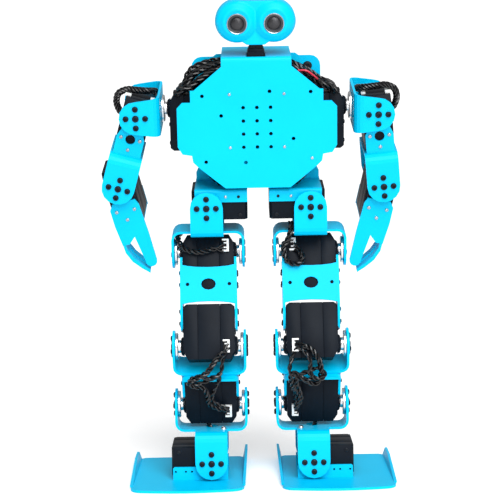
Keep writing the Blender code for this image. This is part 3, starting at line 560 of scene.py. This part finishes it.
ARM_ROUTE = [(9.6, -8, -2.0), (12.6, -8, 1.0), (14.4, -8, 5.5), (14.6, -8, 9.6), (12.6, -8, 14.4),
             (6.5, -8.5, 17.0), (0, -8.5, 16.4), (-6, -8, 15.6),
             (-11, -6, 14.8), (-13.2, 0, 13.0), (-13.2, 3, 11.2)]
ANKLE_ROUTE = [(2.9, -0.6, -13.6), (2.2, -0.3, -16), (1.4, 0, -18.5), (1.0, 0.5, -23), (0.6, 1.0, -27.4)]
TORSO_ROUTE = [(19, -2, 103.5), (26, -3, 102), (34, -5, 96.5), (42, -7.5, 90.5), (49, -9.5, 86.5),
               (55, -9.0, 84.4)]


def outwards(route, side):
    return [(side * x, y, z) for x, y, z in route]


KNEE_LOOPS = {
    "left": [[(25.6, -31.2, 102.5), (31, -35.5, 100), (36, -38, 92), (35, -37.5, 84), (41, -37.5, 79),
              (46.5, -35.5, 81), (43, -34, 86.5), (34, -34, 84), (25, -33, 78), (25.6, -14, 53.2)],
             [(25.6, -31.2, 102.5), (22, -32, 92), (21, -35, 84), (27, -36.5, 80), (33, -36, 78),
              (38, -35, 80.5), (33, -33, 84), (26, -33, 77), (29.5, -21, 62), (25.6, -14, 53.2)]],
    "right": [[(-23.8, -31.2, 102.5), (-28, -34, 95), (-30, -34.5, 84), (-38, -35, 80.5), (-46, -33.5, 81.5),
               (-51.5, -31.5, 79.5), (-50, -30.5, 75), (-41, -31, 77.5), (-31, -31, 80), (-37, -21, 62),
               (-24.6, -14, 53)]],
}


def lead(name, node_name, points, to, bodies, spread=None, loops=(), **twist):
    """A twisted lead that replaces a packed one. A lead on one body is attached to it; one that runs from its
    first body to its second across a joint is left unattached, fixed where it lies.
    """
    shape = Shape()
    twisted(shape, points, to, spread=spread, **twist)
    for loop in loops:
        twisted(shape, loop, to, 2, 0.9, 11.0, start_turn=1.0)
    if len(bodies) == 1:
        piece = shape.finish(name, bodies[0], "cable_black")
    else:
        piece = shape.finish(name, None, "cable_black")
        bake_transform(piece)
    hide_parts(node_name)


def place_leads():
    middle = (spot("ankle_pitch_left") + spot("ankle_pitch_right")) / 2
    robot = at(middle.x, middle.y, 0)
    for word, side in SIDES.items():
        hip = at(*spot(f"hip_pitch_{word}"))
        lead(f"hip_lead_{word}", f"hip_cable_{word}", outwards(HIP_ROUTES[word], side), hip,
             (f"thigh_{word}", f"hip_{word}"), spread=(0, 0, 2.6))
        lead(f"knee_lead_{word}", f"knee_cable_{word}", KNEE_ROUTES[word], robot,
             (f"thigh_{word}", f"shin_{word}"), spread=(0, 0, 2.6), loops=KNEE_LOOPS[word])
        lead(f"ankle_lead_{word}", f"ankle_cable_{word}", outwards(ANKLE_ROUTE, side),
             FRAMES[f"ankle_{word}"], (f"shin_{word}", f"ankle_{word}"), lay=0.95)
        lead(f"arm_lead_{word}", f"arm_cable_{word}", outwards(ARM_ROUTE, side),
             FRAMES[f"shoulder_{word}"], (f"upper_arm_{word}", f"shoulder_{word}"), strands=5, lay=1.75)
        lead(f"torso_lead_{word}", f"torso_cable_{word}", outwards(TORSO_ROUTE, side),
             FRAMES["torso"], ("torso",), strands=5, lay=1.9, pitch=24.0)


# Each bundle's y, how far out it lies, how wide its twist is and how many strands it has
BUNDLES = {
    "right": [(-9, 0, 1.6, 4), (0, 0, 1.5, 4), (-17, 1.5, 1.4, 3), (-5, 4.4, 1.4, 3), (-13, 5.0, 1.4, 3),
              (4, 3.6, 1.6, 4), (-4, -3.6, 1.6, 4), (4, -3.6, 1.6, 4), (-12, -4.0, 1.6, 4), (0, 7.0, 1.3, 3)],
    "left": [(-9, 0, 1.6, 4), (0, 0, 1.5, 4), (-15, 1.0, 1.4, 3), (-4, -3.6, 1.6, 4), (4, -3.6, 1.6, 4),
             (5, 1.5, 1.5, 4)],
}


def torso_bundles():
    """The servo leads gathered in the gaps between the chest plate and the back plate."""
    for word, side in SIDES.items():
        shape = Shape()
        for depth, out, lay, strands in BUNDLES[word]:
            route = [(14, depth, 96), (21, depth, 99.6 + 0.6 * out),
                     (28.5 + 0.6 * out, depth, 98.6 + 0.8 * out), (38 + out, depth, 93.0 + out),
                     (46 + 0.6 * out, depth, 87.5 + out), (53, depth + 1, 86.5), (57.5, depth + 3, 81.8)]
            twisted(shape, outwards(route, side), FRAMES["torso"], strands, lay, 17.0, start_turn=depth)
        route = [(25, -4, 12), (34, -9, 22), (38, -10, 34), (33, -8, 48), (18, -6, 60)]
        twisted(shape, outwards(route, side), FRAMES["torso"], 4, 1.9, 20.0)
        if word == "left":
            route = [(30, -19, 99), (36, -20, 98.6), (41, -19, 95), (44, -16, 92)]
            shape.tube(smooth_line(route, 1.0), 0.7, "red_wire", FRAMES["torso"])
        low, high = (side * 57 - 3.4, -11.5, 80.6), (side * 57 + 3.4, -2.5, 84.0)
        shape.box(low, high, "servo_dark", FRAMES["torso"], 0.4)
        shape.finish(f"shoulder_bundle_{word}", "torso", "cable_black")


def connector(shape, to, opening):
    """A three-pin plug on a servo's face, at y = 0: a white frame whose slots open to one side in x."""
    high, wide, proud = 4.8, 2.5, 2.4
    shape.box((-wide + 0.4, -proud * 0.55, -high + 0.4), (wide - 0.4, 0.2, high - 0.4), "servo_dark", to)
    spine = sorted((-opening * wide, -opening * (wide - 1.7)))
    shape.box((spine[0], -proud, -high), (spine[1], 0.1, high), "white", to, 0.25, 1)
    for z, thick in ((-high + 0.65, 0.65), (-1.7, 0.45), (1.7, 0.45), (high - 0.65, 0.65)):
        reach = sorted((-opening * wide, opening * (wide if thick > 0.5 else wide - 1.2)))
        shape.box((reach[0], -proud * 0.96, z - thick), (reach[1], 0.1, z + thick), "white", to, 0.15, 1)


def place_connectors():
    face = -SERVO_WIDTH / 2
    for word, side in SIDES.items():
        thigh, shin = FRAMES[f"thigh_{word}"], FRAMES[f"shin_{word}"]
        spots = {
            "hip": (f"thigh_{word}", thigh @ at(-side * 13.0, face, 2.4), -1),
            "knee": (f"thigh_{word}", thigh @ at(-side * 12.6, face, -THIGH - 1.6), side),
            "ankle": (f"shin_{word}", shin @ at(-side * 13.0, face, -SHIN + 0.6), side),
        }
        for name, (body, to, opening) in spots.items():
            shape = Shape()
            connector(shape, to, opening)
            shape.finish(f"{name}_connector_{word}", body)
        shape = Shape()
        upper = FRAMES[f"upper_arm_{word}"]
        plugs = ((side * 9.2, 2.2, -12.0, -5.0, 1.9), (-side * 8.6, 1.6, -9.0, -4.0, 1.5))
        for middle, half, front, back, tall in plugs:
            low, high = (middle - half, front, SERVO_NEAR - 0.3), (middle + half, back, SERVO_NEAR + tall)
            shape.box(low, high, "white", upper, 0.3)
        shape.finish(f"arm_connector_{word}", f"upper_arm_{word}")


# ---------------------------------------------------------------- head

def lobe(shape, to):
    """One round goggle lobe about -y: a full rim, a soft shoulder and a raised hood round the eye."""
    profile = [(0, -12.2), (8.2, -12.2), (8.6, -13.0), (10.0, -12.6), (12.0, -11.0), (13.8, -9.6),
               (15.0, -7.6), (15.7, -4.6), (15.7, 9.5), (14.6, 12.2), (12.6, 13.0), (0, 13.0)]
    shape.lathe(profile, "cyan", to, 48)


def head_shell():
    """The two lobes and the bridge between them, melted into one soft shell."""
    shape = Shape()
    for x in (-EYE_X, EYE_X):
        lobe(shape, at(x, 0, 0))
    bridge = [(6.6, -17.0), (10.5, -14.0), (13.0, -12.0), (13.0, 15.2), (5.0, 15.0), (-5.0, 15.0),
              (-13.0, 15.2), (-13.0, -12.0),
              (-10.5, -14.0), (-6.6, -17.0)]
    shape.prism(bridge, -8.6, 11.5, "cyan", Matrix.Identity(4))
    made = shape.finish("head_shell_soft")
    remesh = made.modifiers.new("melt", "REMESH")
    remesh.mode = "VOXEL"
    remesh.voxel_size = 0.5 * MM
    smooth = made.modifiers.new("soften", "SMOOTH")
    smooth.factor = 0.5
    smooth.iterations = 14
    graph = bpy.context.evaluated_depsgraph_get()
    mesh = bpy.data.meshes.new_from_object(made.evaluated_get(graph))
    made.modifiers.clear()
    made.data = mesh
    mesh.transform(Matrix.Diagonal((1.0, 1.01, 0.965, 1)))
    mesh.materials.clear()
    mesh.materials.append(MATERIALS["cyan"])
    mesh.shade_smooth()
    place = FRAMES["head"].copy()
    place.translation = place.translation * MM
    mesh.transform(place)
    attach(made, "head")
    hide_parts("head_shell")


def eyes():
    """Each eye is a bright rim, a black barrel and a domed grille inside it."""
    shape = Shape()
    for x in (-EYE_X, EYE_X):
        to = FRAMES["head"] @ at(x, 0, EYE_HEIGHT)
        rim = [(6.6, -11.5), (7.2, -11.5), (7.2, -13.3), (6.95, -13.55), (6.6, -13.4)]
        barrel = [(4.0, -11.0), (6.7, -11.0), (6.7, -13.3), (6.2, -13.5), (5.2, -13.3), (4.6, -12.6),
                  (4.0, -12.0)]
        dome = [(0, -11.0), (4.9, -11.0), (4.6, -12.2), (3.6, -12.9), (1.9, -13.3), (0, -13.45)]
        rear_can = [(0, 12.5), (4.0, 12.5), (4.0, 14.6), (3.6, 15.0), (0, 15.0)]
        shape.lathe(rim, "screw", to, 48, True)
        shape.lathe(barrel, "ring", to, 48, True)
        shape.lathe(dome, "mesh", to, 32)
        shape.lathe(rear_can, "ring", to, 24)
    for x in (-18.0, 18.0):
        socket_screw(shape, FRAMES["head"] @ at(x, 13.4, 7.0) @ turned(z=180), 1.5, 0.8, "steel")
    shape.box((-24.0, 12.6, -9.0), (24.0, 13.8, 9.0), "board", FRAMES["head"], 0.3, 1)
    shape.box((-5.0, 13.6, -6.0), (5.0, 14.8, 1.0), "servo_dark", FRAMES["head"], 0.2, 1)
    for i in range(4):
        shape.box((-4.2 + 2.54 * i, 13.7, -8.2), (-3.4 + 2.54 * i, 14.6, -7.2), "gold", FRAMES["head"])
    piece = shape.finish("eyes", "head", "bright_steel")
    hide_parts("ultrasonic_sensor")


def neck():
    """The small servo's black top with its two screws, and the collar that carries the head."""
    shape = Shape()
    head = FRAMES["head"]
    shape.box((-5.6, -6.0, -25.0), (5.6, 7.0, -19.5), "servo", head, 0.5)
    shape.box((-4.9, -5.2, -19.6), (4.9, 5.2, -14.0), "servo_dark", head, 0.6)
    for x in (-1.5, 1.5):
        socket_screw(shape, head @ at(x, -6.1, -22.6), 0.95, 0.7, "steel")
    shape.finish("neck_block", "torso", "servo_plastic")


# ---------------------------------------------------------------- small screws and other details

def small_screws():
    """Silver and black screws on the plates, each at its place in a body's frame."""
    torso = FRAMES["torso"]
    chest, lip = Shape(), Shape()
    for x, z in ((-19.5, 83.6), (19.5, 83.6), (-19.5, 45.0), (19.5, 45.0), (39.3, 36.5)):
        socket_screw(chest, torso @ at(x, -CHEST_FRONT - 0.05, z), 1.15, 0.6, "screw")
    for x in (-38.0, 38.0):
        for z in (28.0, 98.0):
            socket_screw(chest, torso @ at(x, BACK_PLATE_REAR - SHEET, z), 3.4, 1.2)
            socket_screw(chest, torso @ at(x, BACK_PLATE_REAR, z) @ turned(z=180), 3.4, 1.6)
    chest.finish("chest_screws", "torso", "bright_steel")
    for x in (14.5, 24.0, 33.0):
        for side in SIDES.values():
            surface = "screw" if x == 24.0 else "black_screw"
            socket_screw(lip, torso @ at(side * x, -21.1, 7.2), 1.1, 0.6, surface)
    lip.finish("hip_tray_screws", "torso", "bright_steel")
    for word, side in SIDES.items():
        arm = Shape()
        upper = FRAMES[f"upper_arm_{word}"]
        for way in (0, 180):
            for x, z in ((-7.0, -17.5), (7.0, -17.5), (0.0, -26.0)):
                socket_screw(arm, upper @ turned(z=way) @ at(x, -CASE_OUTSIDE, z), 1.4, 0.9, "screw")
        arm.finish(f"arm_plate_screws_{word}", f"upper_arm_{word}", "bright_steel")
        hand = Shape()
        for way in (0, 180):
            for x, z in ((7.0, -19.2), (-6.4, -19.8), (0.8, -26.6)):
                to = FRAMES[f"forearm_{word}"] @ turned(z=way)
                x = side * (x if way == 0 else -x)
                socket_screw(hand, to @ at(x, -CASE_OUTSIDE, z), 1.4, 0.9, "screw")
        hand.finish(f"hand_screws_{word}", f"forearm_{word}", "bright_steel")
        web = Shape()
        hip, ankle = FRAMES[f"hip_{word}"], FRAMES[f"ankle_{word}"]
        above_pitch = -ROLL_TO_PITCH + 17.2
        socket_screw(web, hip @ at(side * 7.0, -13.0, above_pitch) @ turned(x=90), 2.2, 1.9, "steel")
        web.finish(f"hip_web_screw_{word}", f"hip_{word}", "bright_steel")
        web = Shape()
        socket_screw(web, ankle @ at(-side * 9.0, -13.0, -17.2) @ turned(x=-90), 2.2, 1.9, "steel")
        web.finish(f"ankle_web_screw_{word}", f"ankle_{word}", "bright_steel")
        sides = Shape()
        thigh = FRAMES[f"thigh_{word}"]
        for way in (90, -90):
            for z in (-17.0, -26.0, -46.0, -55.0):
                for y in (-5.5, 5.5):
                    to = thigh @ turned(z=way)
                    socket_screw(sides, to @ at(-y if way > 0 else y, -CASE_OUTSIDE, z), 1.6, 1.1)
        sides.finish(f"thigh_screws_{word}", f"thigh_{word}", "servo_plastic")
        sides = Shape()
        shin = FRAMES[f"shin_{word}"]
        for way in (90, -90):
            for y in (-5.5, 5.5):
                socket_screw(sides, shin @ turned(z=way) @ at(y, -CASE_OUTSIDE, -SHIN + 22.0), 1.6, 1.1)
        sides.finish(f"shin_screws_{word}", f"shin_{word}", "servo_plastic")


def shoulder_horns():
    """The disc on each shoulder's pitch axis, between the servo in the chest and the arm's bracket."""
    for word, side in SIDES.items():
        shape = Shape()
        to = FRAMES["torso"] @ at(side * SHOULDER_FACE, 0, SHOULDER_HEIGHT) @ turned(z=90 * side)
        horn(shape, to, SHOULDER_WEB_X - SHOULDER_FACE, BOSS_HEIGHT)
        shape.finish(f"shoulder_pitch_horn_{word}", f"shoulder_{word}", "bright_steel")
        screws = Shape()
        ear_screws(screws, to @ turned(z=180), -(SHOULDER_WEB_X + SHEET - SHOULDER_FACE))
        screws.finish(f"shoulder_web_screws_{word}", f"shoulder_{word}", "servo_plastic")


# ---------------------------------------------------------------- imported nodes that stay

def dress(names, surface, bevel):
    for name in names:
        item = frame["nodes"][name]
        item.data.materials.clear()
        item.data.materials.append(MATERIALS[surface])
        rounding = item.modifiers.new("edges", "BEVEL")
        rounding.width = bevel * MM
        rounding.segments = 2
        rounding.limit_method = "ANGLE"
        rounding.angle_limit = math.radians(40)
        rounding.harden_normals = False
        normals = item.modifiers.new("normals", "WEIGHTED_NORMAL")
        normals.keep_sharp = False


MATERIALS = make_materials()
camera()
studio()
place_leads()
place_servos()
place_horns()
place_connectors()
torso_bundles()
head_shell()
eyes()
neck()
small_screws()
shoulder_horns()
BRACKETS = [n for n, o in frame["nodes"].items() if n.split("_left")[0].split("_right")[0] in (
    "ankle_bracket", "foot_plate", "hand", "hip_bracket", "knee_bracket", "shin_bracket", "shoulder_bracket",
    "thigh_bracket", "upper_arm_bracket", "back_plate", "chest_plate", "pelvis_bracket")]
dress(BRACKETS, "cyan", 0.25)
dress(["battery_pack"], "wrap", 1.0)
dress(["controller_board"], "board", 0.2)
dress(["head_pan_servo"], "servo", 0.3)
